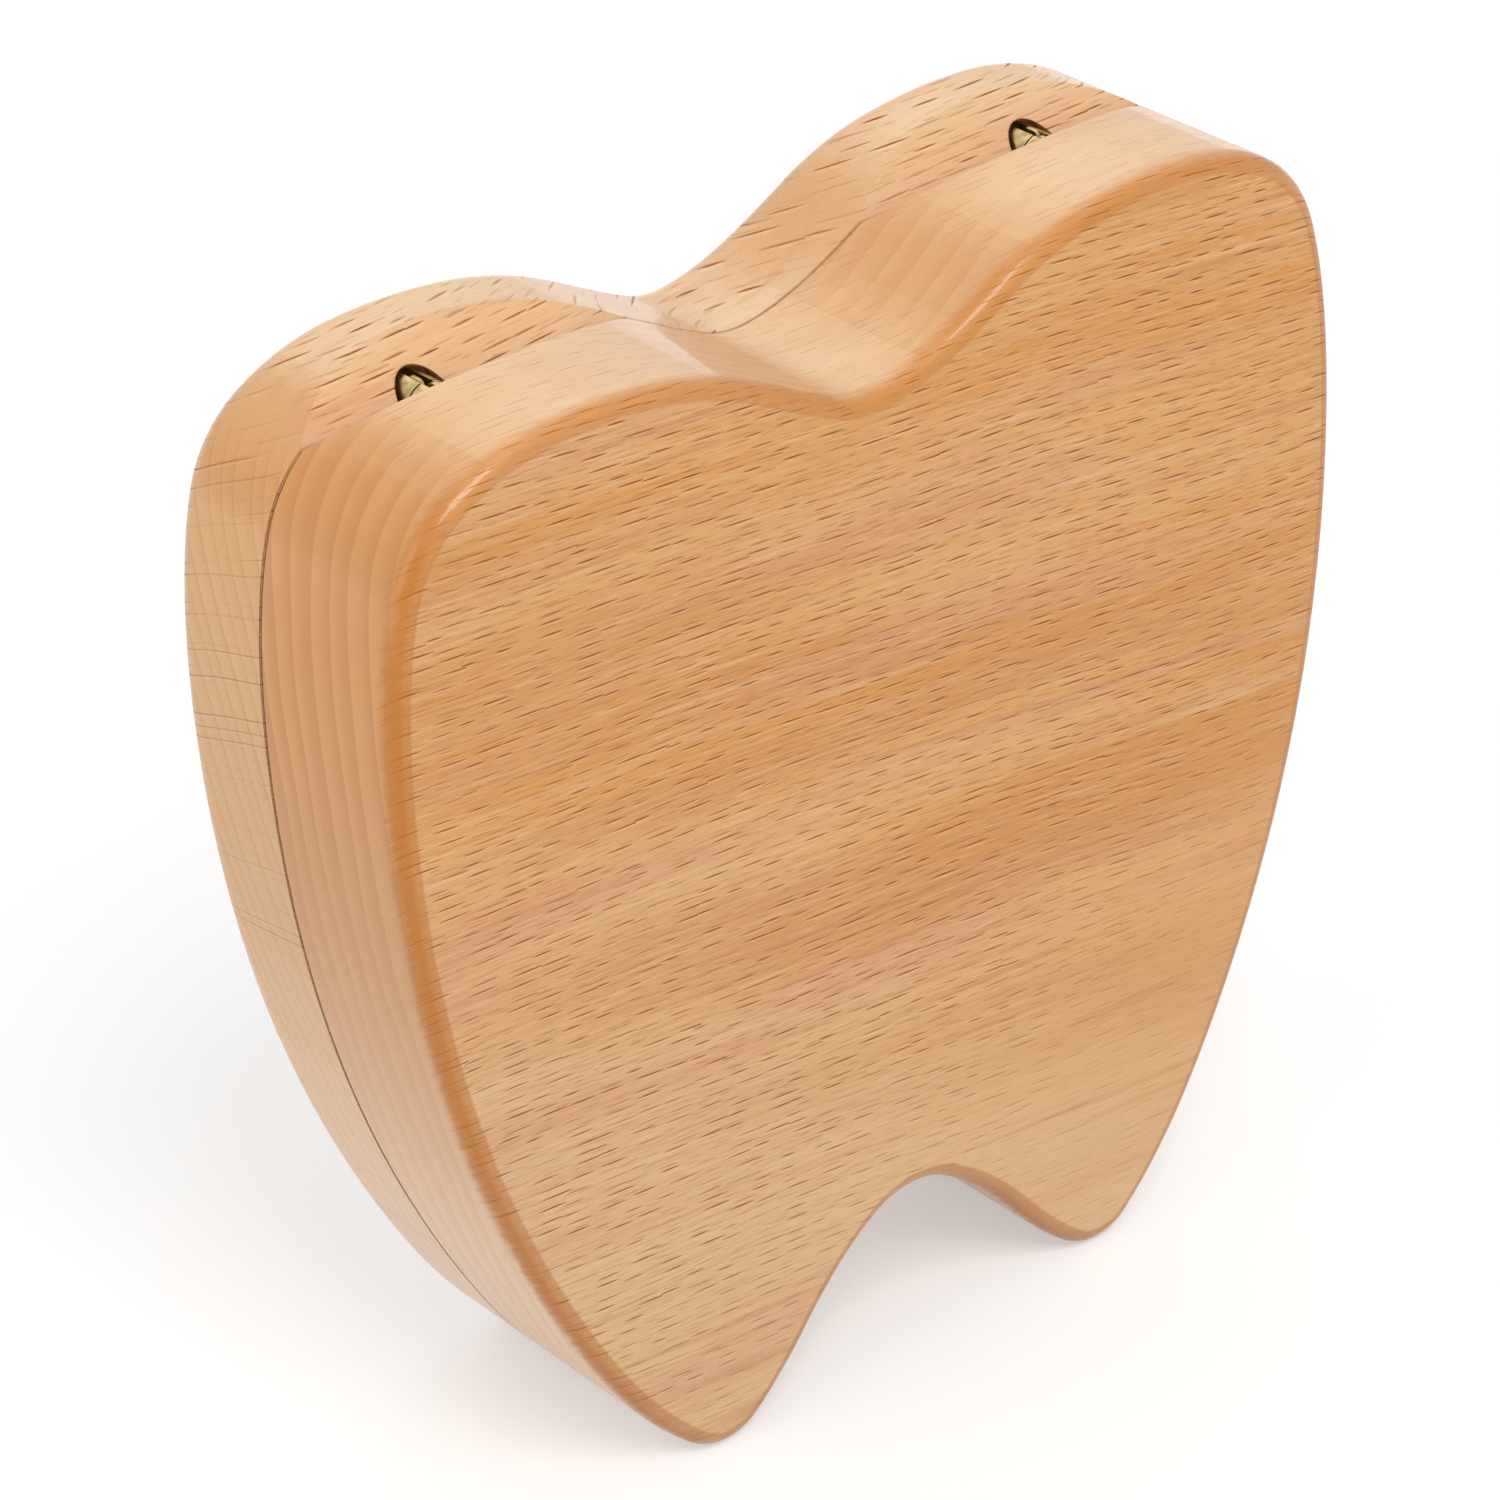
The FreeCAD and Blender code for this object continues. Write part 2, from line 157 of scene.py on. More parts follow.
# Ways across the board, and spans along them in millimetres
UPPER_RIGHT = ((1.0, 0.0, 0.8), (30.0, 140.0))
ROOTS = ((0.55, 0.0, 1.0), (66.0, 8.0))
LOWER_RIGHT = ((-0.55, 0.0, 1.0), (48.0, 4.0))
LOW_ENDS = ((0.0, 0.0, 1.0), (72.0, 18.0))
CROWN = ((0.0, 0.0, 1.0), (45.0, 95.0))
WARM = linear(222, 150, 62)
ROOT_SHEEN = linear(235, 192, 144)
ROOT_SHEEN_STRENGTH = 0.8

# Ends, and the painted shade on the slopes
END_FIBRE_SPAN = (0.3, 0.7)
END_STRENGTH = 0.85
LOW_END_PALE = linear(246, 206, 164)
LOW_END_STRENGTH = 0.85
SLOPE_SHADE_COLOUR = linear(198, 140, 78)
SLOPE_SHADE_STRENGTH = 0.7

# Growth rings: lengths in millimetres, spans in shares of a ring
RING_COLOUR = linear(184, 112, 46)
RING_WAVE = 4.5
RING_UNEVEN_NOISE = ((0.30, 0.0, 0.0), 1.0)
RING_UNEVENNESS = 2.6
LATE_WOOD_SPANS = ((0.0, 0.95), (1.0, 0.96))
RING_LINE_SPANS = ((0.80, 0.93), (1.0, 0.95))
RINGS_BELOW_CROWN = 0.4

# Ray flecks: lengths as shares of the board's fleck length and thickness
FLECK_COLOUR = linear(142, 68, 4)
FLECK_STRENGTH = 0.92
# Painted highlight: a pale line beside each bold fleck
FLECK_HIGHLIGHT_COLOUR = linear(250, 214, 168)
FLECK_HIGHLIGHT_STRENGTH = 0.18
FLECK_SCATTER = 0.85
FLECK_HALF_LENGTHS = (0.3, 0.65)
FLECK_DASH_SPAN = (1.2, 0.55)
FLECK_HIGHLIGHT_OFFSET = 1.1
FLECK_HIGHLIGHT_WIDTH = 0.9
FLECK_HIGHLIGHT_SPAN = (1.1, 0.5)
# The chance below which a fleck is left out, where flecks are common and where they are rare
FLECK_LEAST_CHANCES = (-0.5, 0.65)
END_RARITY = 0.8
# Faint flecks between the bold: their shift in millimetres, and shares of the bold ones' sizes and strength
FAINT_SHIFT = (41.7, 23.1)
FAINT_CELL = (0.7, 0.8)
FAINT_LENGTH = 0.65
FAINT_THICKNESS = 0.8
FAINT_STRENGTH = 0.4
ALONG_RAYS_SPAN = (0.80, 0.97)
PAST_EDGE_SPAN = (1.5, 3.5)

# Oiled edge, and the painted shade at the seam, in the groove and in the hinge holes: lengths in millimetres
EDGE_COLOUR = linear(190, 112, 10)
EDGE_BAND_SPAN = (3.0, 0.6)
EDGE_RAGGEDNESS = 2.0
EDGE_OFF_ENDS = 0.65
SEAM_DEPTH = 3.0
# Painted shade: a dark line along the seam gap
SEAM_SHADE_COLOUR = linear(118, 54, 12)
SEAM_SHADE_SPAN = (0.3, 0.15)
# On the tops and on the ends
SEAM_SHADE_STRENGTHS = (0.15, 0.85)
# Painted shade in the groove over the hinges
GROOVE_SHADE_COLOUR = linear(150, 94, 46)
GROOVE_SHADE_STRENGTH = 0.8
GROOVE_SHADE_SPAN = (4.9, 0.0)
# Painted shade in the hinge holes, and where the holes are
HOLE_SHADE_COLOUR = linear(96, 56, 24)
HOLE_RADIUS = 3.03
HOLE_DEPTH = 13.0
HOLE_SHADE_LEFT_SPAN = (0.0, -2.0)
# On the right and on the left
HOLE_SHADE_STRENGTHS = (0.3, 0.8)

# Surface of the wood. Relief, here and below, is its depth in metres and its strength
EASED_EDGE = 0.25 * MM
EASED_EDGE_SAMPLES = 4
THREAD_RELIEF = 0.5
WOOD_RELIEF = (0.03 * MM, 0.25)
WOOD_ROUGHNESS = (0.3, 0.55)
WOOD_COAT_ROUGHNESS = 0.08
# On plain wood and on the dark marks
WOOD_SPECULAR = (0.5, 0.05)
WOOD_COAT = (0.4, 0.0)

# Other materials: noises are grains in a millimetre along X, Y and Z, then detail and roughness
BRASS_BRIGHT = linear(206, 184, 132)
BRASS_DULL = linear(160, 134, 86)
BRASS_DULL_SPAN = (0.35, 0.7)
BRASS_ROUGHNESS = (0.18, 0.43)
BRASS_PATCHES = ((0.9, 0.9, 0.9), 4.0)
BRASS_TURNING = ((0.6, 14.0, 0.6), 2.0)
BRASS_RELIEF = (0.01 * MM, 0.4)
NICKEL_BRIGHT = linear(208, 207, 202)
NICKEL_DULL = linear(176, 174, 168)
NICKEL_DULL_SPAN = (0.3, 0.7)
NICKEL_ROUGHNESS = (0.15, 0.35)
NICKEL_SCUFFS = ((2.0, 2.0, 2.0), 4.0)
GLASS_COLOUR = linear(250, 253, 252)
GLASS_WAVES = ((0.25, 0.3, 0.3), 1.0)
GLASS_ROUGHNESS = (0.0, 0.03)
GLASS_RELIEF = (0.05 * MM, 0.3)
CORK_LIGHT = linear(206, 154, 98)
CORK_DARK = linear(180, 122, 68)
CORK_GRANULES = 1.1
CORK_SPECK_COLOUR = linear(112, 68, 34)
CORK_SPECKS = ((2.2, 2.2, 2.2), 4.0, 0.65)
CORK_SPECK_SPAN = (0.56, 0.68)
CORK_SPECK_STRENGTH = 0.8
CORK_GAP_COLOUR = linear(140, 88, 46)
CORK_GAP_SPAN = (0.45, 0.75)
CORK_GAP_STRENGTH = 0.35
CORK_RELIEF = (0.08 * MM, 0.6)
PLASTIC_LIGHT = linear(246, 247, 247)
PLASTIC_DARK = linear(232, 234, 235)
PLASTIC_MOTTLE = ((0.5, 0.5, 0.5), 3.0)
PLASTIC_SKIN = ((1.5, 1.5, 1.5), 2.0)
PLASTIC_ROUGHNESS = (0.25, 0.45)
PLASTIC_RELIEF = (0.02 * MM, 0.3)
PLASTIC_SCATTER = (2.0 * MM, 2.0 * MM, 2.0 * MM)

# Vial, cork and tweezers, in millimetres; the tweezers' shares are of their length and half width
ROUNDING_STEPS = 6
VIAL_SIDES = 96
VIAL_WALL = 0.6
VIAL_BASE = 0.9
VIAL_HOLLOW_DEPTH = 0.35
VIAL_HOLLOW_RADIUS = 1.6
VIAL_FOOT_RADIUS = 2.4
VIAL_SHOULDER_START = 24.9
VIAL_NECK_START = 26.2
VIAL_NECK_RADIUS = 3.5
VIAL_LIP_START = 28.2
VIAL_LIP_RADIUS = 4.25
VIAL_MOUTH_RADIUS = 2.9
CORK_SIDES = 160
CORK_STEP = 0.16
CORK_INNER_RADIUS = 2.35
CORK_PIT_DEPTH = 0.22
CORK_PIT_START = 0.18
CORK_PIT_STEEPNESS = 4.0
# Noises that place the pits: grains in a millimetre, and strength
CORK_PIT_NOISES = [(0.9, 1.0), (2.1, 0.5)]
TWEEZERS_OUTER_SHARES = [(0.0, 0.39), (0.024, 0.45), (0.12, 0.60), (0.353, 0.97)]
TWEEZERS_TIP_SHARES = [(0.60, 1.0), (0.942, 0.985), (1.0, 0.77)]
TWEEZERS_INNER_SHARES = [(0.60, 0.745), (0.346, 0.71), (0.155, 0.42), (0.086, 0.255), (0.068, 0.0)]
TWEEZERS_RIDGES = 18
TWEEZERS_RIDGE_DEPTH = 0.22
TWEEZERS_EDGE = 0.3
TWEEZERS_EDGE_STEPS = 3
TWEEZERS_SHARP_ANGLE = 40.0


class Graph:
    """The node tree of a material or a world, with short calls for the nodes that recur."""

    def __init__(self, owner, output="ShaderNodeOutputMaterial"):
        owner.use_nodes = True
        self.owner = owner
        self.tree = owner.node_tree
        self.tree.nodes.clear()
        self.output = self.node(output)

    def node(self, kind, inputs=None, **settings):
        made = self.tree.nodes.new(kind)
        for key, value in settings.items():
            setattr(made, key, value)
        for key, value in (inputs or {}).items():
            self.put(made.inputs[key], value)
        return made

    def put(self, socket, value):
        if isinstance(value, bpy.types.NodeSocket):
            self.tree.links.new(value, socket)
        else:
            socket.default_value = value

    def math(self, operation, first, second=0.0, third=0.0):
        return self.node("ShaderNodeMath", {0: first, 1: second, 2: third}, operation=operation).outputs[0]

    def times(self, first, *others):
        for other in others:
            first = self.math("MULTIPLY", first, other)
        return first

    def between(self, share, low, high):
        """Number that goes from low to high as the share goes from 0 to 1."""
        return self.math("MULTIPLY_ADD", share, high - low, low)

    def vector(self, operation, first, second):
        return self.node("ShaderNodeVectorMath", {0: first, 1: second}, operation=operation).outputs[0]

    def measure(self, operation, *vectors):
        """Number that a vector operation gives."""
        made = self.node("ShaderNodeVectorMath", dict(enumerate(vectors)), operation=operation)
        return made.outputs["Value"]

    def parts(self, vector):
        made = self.node("ShaderNodeSeparateXYZ", {0: vector})
        return made.outputs[0], made.outputs[1], made.outputs[2]

    def join(self, x, y, z=0.0):
        return self.node("ShaderNodeCombineXYZ", {0: x, 1: y, 2: z}).outputs[0]

    def noise(self, vector, grains, detail, roughness=0.5):
        """Noise with about that many grains to a unit of length, each way."""
        scaled = self.vector("MULTIPLY", vector, grains)
        made = self.node("ShaderNodeTexNoise", {"Vector": scaled, "Scale": 1.0, "Detail": detail,
                                                "Roughness": roughness})
        return made.outputs["Fac"]

    def smooth(self, value, span):
        """Smooth step from 0 where a span starts to 1 where it ends; it may run downwards."""
        made = self.node("ShaderNodeMapRange", {"Value": value, "From Min": span[0], "From Max": span[1]},
                         interpolation_type="SMOOTHSTEP")
        return made.outputs[0]

    def mix(self, share, first, second):
        made = self.node("ShaderNodeMix", data_type="RGBA")
        self.put(made.inputs[0], share)
        self.put(made.inputs[6], first)
        self.put(made.inputs[7], second)
        return made.outputs[2]

    def bump(self, height, distance, strength, normal=None):
        inputs = {"Height": height, "Distance": distance, "Strength": strength}
        if normal is not None:
            inputs["Normal"] = normal
        return self.node("ShaderNodeBump", inputs).outputs[0]

    def metres(self):
        """Place on the piece in its own frame."""
        return self.node("ShaderNodeTexCoord").outputs["Object"]

    def millimetres(self):
        return self.vector("MULTIPLY", self.metres(), (1 / MM, 1 / MM, 1 / MM))

    def background_rays(self):
        """1 for rays that show the studio, also in metal and glass, and 0 for those that carry its light."""
        path = self.node("ShaderNodeLightPath")
        seen = self.math("MAXIMUM", path.outputs["Is Camera Ray"], path.outputs["Is Glossy Ray"])
        return self.math("MAXIMUM", seen, path.outputs["Is Transmission Ray"])

    def principled(self, inputs):
        """Closes the tree with one shader."""
        return self.surface(self.node("ShaderNodeBsdfPrincipled", inputs))

    def surface(self, shader):
        self.tree.links.new(shader.outputs[0], self.output.inputs["Surface"])
        return self.owner


class Beech(Graph):
    """Satin beech as cut from a log: rays show as flecks on faces and tops and as lines on the ends."""

    def __init__(self, name, wood):
        super().__init__(bpy.data.materials.new(name))
        self.wood = wood
        self.find_place()
        self.find_facing()
        self.noises = {key: self.noise(self.board, *settings) for key, settings in WOOD_NOISES.items()}
        self.lay_figure()
        self.lay_tops_and_ends()
        self.lay_flecks()
        self.lay_oiled_edge()
        self.lay_seam_and_groove_shade()
        self.lay_hinge_hole_shade()
        self.lay_finish()

    def find_place(self):
        """Place on the box, and in the board along the grain, out from the pith and round it."""
        wood = self.wood
        self.place = self.millimetres()
        self.x, self.y, self.z = self.parts(self.place)
        tilt = math.radians(wood["grain_tilt"])
        turned = self.node("ShaderNodeVectorRotate", {"Vector": self.place, "Angle": tilt},
                           rotation_type="Y_AXIS").outputs[0]
        wander = self.noise(turned, *GRAIN_WANDER_NOISE)
        grain, depth, height = self.parts(turned)
        height = self.math("MULTIPLY_ADD", wander, GRAIN_WANDER, height)
        self.behind = self.math("SUBTRACT", wood["pith_depth"], depth)
        self.above = self.math("SUBTRACT", height, wood["pith_height"])
        squares = self.math("ADD", self.times(self.behind, self.behind), self.times(self.above, self.above))
        self.radius = self.math("SQRT", squares)
        around = self.times(self.math("ARCTAN2", self.above, self.behind), wood["pith_depth"])
        inward = self.math("SUBTRACT", depth, wood["outer_face"])
        around = self.math("MULTIPLY_ADD", inward, wood["ray_lean"], around)
        self.inward = self.math("ABSOLUTE", inward)
        self.board = self.vector("ADD", self.join(grain, self.radius, around), wood["shift"])

    def find_facing(self):
        """How far the surface faces the front or back, the ends of the grain and the top."""
        normal = self.node("ShaderNodeTexCoord").outputs["Normal"]
        _, self.normal_y, self.normal_z = self.parts(normal)
        self.ends, self.faces, _ = self.parts(self.vector("MULTIPLY", normal, normal))
        self.on_faces = self.smooth(self.faces, FACE_SPAN)
        self.off_faces = self.math("SUBTRACT", 1.0, self.on_faces)

    def tint(self, colour, strength, *shares):
        """Mixes a colour in by its strength and by the shares that say where it shows."""
        self.colour = self.mix(self.times(*shares, strength), self.colour, colour)

    def towards(self, way, span):
        """Share that grows along a way across the board, over a span of it."""
        return self.smooth(self.measure("DOT_PRODUCT", self.place, way), span)

    def lay_figure(self):
        """Bands, streaks and fibres along the grain."""
        wood = self.wood
        self.colour = self.mix(self.smooth(self.noises["wide"], WIDE_SPAN), wood["light"], wood["deep"])
        self.tint(wood["orange"], ORANGE_STRENGTH, self.smooth(self.noises["orange"], ORANGE_SPAN))
        # The board is warmer towards its upper right, and paler towards the roots, a painted sheen of light
        # from the floor
        self.tint(WARM, wood["warmth"], self.towards(*UPPER_RIGHT), self.on_faces)
        self.tint(ROOT_SHEEN, ROOT_SHEEN_STRENGTH, self.towards(*ROOTS))
        for key, span, strength, colour in STREAKS:
            self.tint(colour, strength, self.smooth(self.noises[key], span))
        # The figure is fainter off the faces and towards the lower right
        self.figure = self.between(self.towards(*LOWER_RIGHT), 1.0, 1.0 - wood["plain_corner"])
        fine = self.times(self.between(self.on_faces, FINE_OFF_FACES, 1.0), self.figure)
        for key, span, strength, colour in FINE_STREAKS:
            self.tint(colour, strength, self.smooth(self.noises[key], span), fine)

    def growth_rings(self):
        """Growth rings that darken outwards up to a sharp edge, each with a thin line at it."""
        radius = self.parts(self.board)[1]
        radius = self.math("MULTIPLY_ADD", self.noises["ring_wave"], RING_WAVE, radius)
        uneven = self.noise(self.join(radius, 0.0), *RING_UNEVEN_NOISE)
        radius = self.math("MULTIPLY_ADD", uneven, RING_UNEVENNESS, radius)
        ring = self.math("FRACT", self.math("DIVIDE", radius, self.wood["ring_pitch"]))
        late = self.times(*[self.smooth(ring, span) for span in LATE_WOOD_SPANS])
        line = self.times(*[self.smooth(ring, span) for span in RING_LINE_SPANS])
        late = self.times(late, self.between(self.towards(*CROWN), RINGS_BELOW_CROWN, 1.0))
        late = self.times(late, self.wood["ring_shade"])
        return self.math("MULTIPLY_ADD", line, self.wood["ring_line"], late)

    def lay_tops_and_ends(self):
        """The tops are paler, a painted sheen, and the sideways slopes darker, painted shade; the ends and
        slopes show rings in place of the streaks.
        """
        wood = self.wood
        # Painted sheen: the surfaces that face upwards are made paler
        upward = self.times(self.smooth(self.normal_z, TOP_SPAN), self.off_faces)
        self.tint(wood["top_pale"], wood["top_paleness"], upward)
        fibres = self.smooth(self.noises["fibre"], END_FIBRE_SPAN)
        plain = self.mix(fibres, wood["end_light"], wood["end_deep"])
        plain = self.mix(self.times(self.towards(*LOW_ENDS), LOW_END_STRENGTH), plain, LOW_END_PALE)
        self.tint(plain, END_STRENGTH, self.smooth(self.ends, PLAIN_END_SPAN), self.off_faces)
        # Painted shade: slopes that face sideways and upwards are made darker
        rising = self.smooth(self.normal_z, RISING_SPAN)
        self.tint(SLOPE_SHADE_COLOUR, SLOPE_SHADE_STRENGTH, self.smooth(self.ends, SLOPE_SHADE_SPAN), rising, self.off_faces)
        ringed = self.times(self.smooth(self.ends, wood["ring_span"]), self.off_faces)
        self.tint(RING_COLOUR, self.growth_rings(), ringed)

    def fleck_layer(self, along, across, cell, length, thickness, rarity):
        """Ray flecks, one lens-shaped dash in each cell: dashes of random strength and the painted highlights
        along their rims.
        Where rarity is 1, only the boldest stay."""
        place = self.join(self.math("DIVIDE", along, cell[0]), self.math("DIVIDE", across, cell[1]))
        inputs = {"Vector": place, "Scale": 1.0, "Randomness": FLECK_SCATTER}
        cells = self.node("ShaderNodeTexVoronoi", inputs, voronoi_dimensions="2D", feature="F1",
                          distance="EUCLIDEAN")
        offset = self.vector("SUBTRACT", place, cells.outputs["Position"])
        along, across, _ = self.parts(self.vector("MULTIPLY", offset, (cell[0], cell[1], 0.0)))
        chance_length, chance_strength, _ = self.parts(cells.outputs["Color"])
        half_length = self.between(chance_length, *[share * length for share in FLECK_HALF_LENGTHS])
        along = self.math("DIVIDE", along, half_length)
        along = self.math("MULTIPLY", along, along)
        beside = self.math("ABSOLUTE", self.math("ADD", across, thickness * FLECK_HIGHLIGHT_OFFSET))
        across = self.math("ABSOLUTE", across)
        strength = self.smooth(chance_strength, (self.between(rarity, *FLECK_LEAST_CHANCES), 1.0))
        dash = self.math("ADD", along, self.math("DIVIDE", across, thickness / 2))
        rim_highlight = self.math("ADD", along, self.math("DIVIDE", beside, thickness * FLECK_HIGHLIGHT_WIDTH))
        dash = self.times(self.smooth(dash, FLECK_DASH_SPAN), strength)
        rim_highlight = self.times(self.smooth(rim_highlight, FLECK_HIGHLIGHT_SPAN), strength)
        return dash, rim_highlight

    def flecks(self, rarity):
        """Bold flecks and faint short ones between them, with the painted highlights along the rims of the
        bold.
        """
        cell = self.wood["fleck_cell"]
        length = self.wood["fleck_length"]
        thickness = self.wood["fleck_thickness"]
        grain, _, around = self.parts(self.board)
        bold, rim_highlight = self.fleck_layer(grain, around, cell, length, thickness, rarity)
        grain = self.math("ADD", grain, FAINT_SHIFT[0])
        around = self.math("ADD", around, FAINT_SHIFT[1])
        cell = (cell[0] * FAINT_CELL[0], cell[1] * FAINT_CELL[1])
        length *= FAINT_LENGTH
        thickness *= FAINT_THICKNESS
        faint, _ = self.fleck_layer(grain, around, cell, length, thickness, rarity)
        return self.math("MAXIMUM", bold, self.times(faint, FAINT_STRENGTH)), rim_highlight

    def lay_flecks(self):
        """Rays where the surface cuts across them; where it runs along them they may fade."""
        wood = self.wood
        along_rays = self.times(self.behind, self.normal_z)
        along_rays = self.math("MULTIPLY_ADD", self.above, self.normal_y, along_rays)
        along_rays = self.math("DIVIDE", along_rays, self.radius)
        along_rays = self.smooth(self.times(along_rays, along_rays), ALONG_RAYS_SPAN)
        cut_across = self.math("SUBTRACT", 1.0, self.times(along_rays, wood["ray_fade"]))
        on_ends = self.times(self.smooth(self.ends, END_SPAN), self.off_faces)
        past_edge = self.times(on_ends, self.smooth(self.inward, PAST_EDGE_SPAN))
        fleck, rims = self.flecks(self.times(past_edge, END_RARITY))
        shown = self.between(self.smooth(self.faces, OFF_EDGE_SPAN), 1.0, wood["top_flecks"])
        shown = self.math("MULTIPLY_ADD", past_edge, wood["end_rays"] - wood["top_flecks"], shown)
        shown = self.times(shown, cut_across, self.figure)
        self.fleck = self.times(fleck, shown)
        # Painted highlight: a pale line beside each bold fleck
        self.tint(FLECK_HIGHLIGHT_COLOUR, FLECK_HIGHLIGHT_STRENGTH, rims, shown)
        self.tint(FLECK_COLOUR, FLECK_STRENGTH, self.fleck)

    def lay_oiled_edge(self):
        """The rounded edge, where the fibres are cut across, takes the oil deeper."""
        ragged = self.math("SUBTRACT", self.noises["ragged"], 0.5)
        inward = self.math("MULTIPLY_ADD", ragged, EDGE_RAGGEDNESS, self.inward)
        deep = self.between(self.smooth(self.ends, DEEP_OIL_SPAN), EDGE_OFF_ENDS, 1.0)
        band = self.times(self.smooth(inward, EDGE_BAND_SPAN), self.smooth(self.faces, ROUNDED_SPAN), deep)
        self.tint(EDGE_COLOUR, self.wood["edge_band"], band)

    def lay_seam_and_groove_shade(self):
        """Painted shade along the seam gap and deep in the groove over the hinges."""
        self.from_seam = self.math("ABSOLUTE", self.math("SUBTRACT", self.y, SEAM_DEPTH))
        # Painted shade: a dark line along the seam gap, strongest on the ends
        self.seam = self.times(self.smooth(self.from_seam, SEAM_SHADE_SPAN), self.off_faces)
        dark = self.between(self.smooth(self.ends, SEAM_SHADE_END_SPAN), *SEAM_SHADE_STRENGTHS)
        self.tint(SEAM_SHADE_COLOUR, dark, self.seam)
        # Painted shade in the groove, darkest near the seam
        facet = self.times(*[self.smooth(self.faces, span) for span in FACET_SPANS])
        shade = self.smooth(self.from_seam, GROOVE_SHADE_SPAN)
        self.tint(GROOVE_SHADE_COLOUR, GROOVE_SHADE_STRENGTH, shade, shade, facet)

    def lay_hinge_hole_shade(self):
        """Painted shade on the walls of the hinge holes, most on the left."""
        low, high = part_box("barrel_back_right")
        hole_x = self.times(self.math("SIGN", self.x), (low[0] + high[0]) / 2 / MM)
        beside = self.math("SUBTRACT", self.x, hole_x)
        over = self.math("SUBTRACT", self.z, (low[2] + high[2]) / 2 / MM)
        hole = self.math("LESS_THAN", self.measure("LENGTH", self.join(beside, over)), HOLE_RADIUS)
        self.hole = self.times(hole, self.math("LESS_THAN", self.from_seam, HOLE_DEPTH))
        # Painted shade: the hole walls are darker, most on the left
        hole_shade = self.between(self.smooth(beside, HOLE_SHADE_LEFT_SPAN), *HOLE_SHADE_STRENGTHS)
        self.tint(HOLE_SHADE_COLOUR, hole_shade, self.hole)

    def lay_finish(self):
        """Satin oil over the fine relief; the dark marks and the holes are matt."""
        thread = self.noises["thread"]
        relief = self.math("SUBTRACT", self.math("MULTIPLY", thread, THREAD_RELIEF), self.fleck)
        eased = self.node("ShaderNodeBevel", {"Radius": EASED_EDGE}, samples=EASED_EDGE_SAMPLES)
        matt = self.math("MAXIMUM", self.math("MAXIMUM", self.fleck, self.seam), self.hole)
        self.principled({
            "Base Color": self.colour,
            "Roughness": self.between(thread, *WOOD_ROUGHNESS),
            "Normal": self.bump(relief, *WOOD_RELIEF, eased.outputs[0]),
            "Specular IOR Level": self.between(matt, *WOOD_SPECULAR),
            "Coat Weight": self.between(matt, *WOOD_COAT),
            "Coat Roughness": WOOD_COAT_ROUGHNESS,
        })


def brass(name):
    """Turned brass, dulled a little by handling."""
    graph = Graph(bpy.data.materials.new(name))
    place = graph.millimetres()
    tarnish = graph.noise(place, *BRASS_PATCHES)
    turning = graph.noise(place, *BRASS_TURNING)
    return graph.principled({
        "Base Color": graph.mix(graph.smooth(tarnish, BRASS_DULL_SPAN), BRASS_BRIGHT, BRASS_DULL),
        "Metallic": 1.0,
        "Roughness": graph.between(tarnish, *BRASS_ROUGHNESS),
        "Normal": graph.bump(turning, *BRASS_RELIEF),
    })


def nickel(name):
    """Plated disc magnet, lightly scuffed."""
    graph = Graph(bpy.data.materials.new(name))
    scuff = graph.noise(graph.millimetres(), *NICKEL_SCUFFS)
    return graph.principled({
        "Base Color": graph.mix(graph.smooth(scuff, NICKEL_DULL_SPAN), NICKEL_BRIGHT, NICKEL_DULL),
        "Metallic": 1.0,
        "Roughness": graph.between(scuff, *NICKEL_ROUGHNESS),
    })


def glass(name):
    """Clear blown glass with slight waves."""
    graph = Graph(bpy.data.materials.new(name))
    waves = graph.noise(graph.millimetres(), *GLASS_WAVES)
    return graph.principled({
        "Base Color": GLASS_COLOUR,
        "Roughness": graph.between(waves, *GLASS_ROUGHNESS),
        "Normal": graph.bump(waves, *GLASS_RELIEF),
        "Transmission Weight": 1.0,
        "IOR": 1.5,
        "Alpha": 0.35,
    })


def ground_cork(name):
    """Pressed cork: tan granules with dark specks between them."""
    graph = Graph(bpy.data.materials.new(name))
    place = graph.millimetres()
    inputs = {"Vector": place, "Scale": CORK_GRANULES, "Randomness": 1.0}
    granules = graph.node("ShaderNodeTexVoronoi", inputs)
    tone = graph.parts(granules.outputs["Color"])[0]
    colour = graph.mix(tone, CORK_LIGHT, CORK_DARK)
    specks = graph.smooth(graph.noise(place, *CORK_SPECKS), CORK_SPECK_SPAN)
    colour = graph.mix(graph.times(specks, CORK_SPECK_STRENGTH), colour, CORK_SPECK_COLOUR)
    gaps = graph.smooth(granules.outputs["Distance"], CORK_GAP_SPAN)
    colour = graph.mix(graph.times(gaps, CORK_GAP_STRENGTH), colour, CORK_GAP_COLOUR)
    bumped = graph.bump(graph.math("SUBTRACT", tone, specks), *CORK_RELIEF)
    return graph.principled({"Base Color": colour, "Roughness": 0.8, "Normal": bumped})


def plastic(name):
    """Milky moulded plastic."""
    graph = Graph(bpy.data.materials.new(name))
    place = graph.millimetres()
    mottle = graph.noise(place, *PLASTIC_MOTTLE)
    return graph.principled({
        "Base Color": graph.mix(mottle, PLASTIC_LIGHT, PLASTIC_DARK),
        "Roughness": graph.between(mottle, *PLASTIC_ROUGHNESS),
        "Normal": graph.bump(graph.noise(place, *PLASTIC_SKIN), *PLASTIC_RELIEF),
        "Subsurface Weight": 0.35,
        "Subsurface Radius": PLASTIC_SCATTER,
    })


def dress(nodes, material):
    """Gives CAD nodes a material."""
    for node in nodes:
        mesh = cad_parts[node].data
        mesh.materials.clear()
        mesh.materials.append(material)


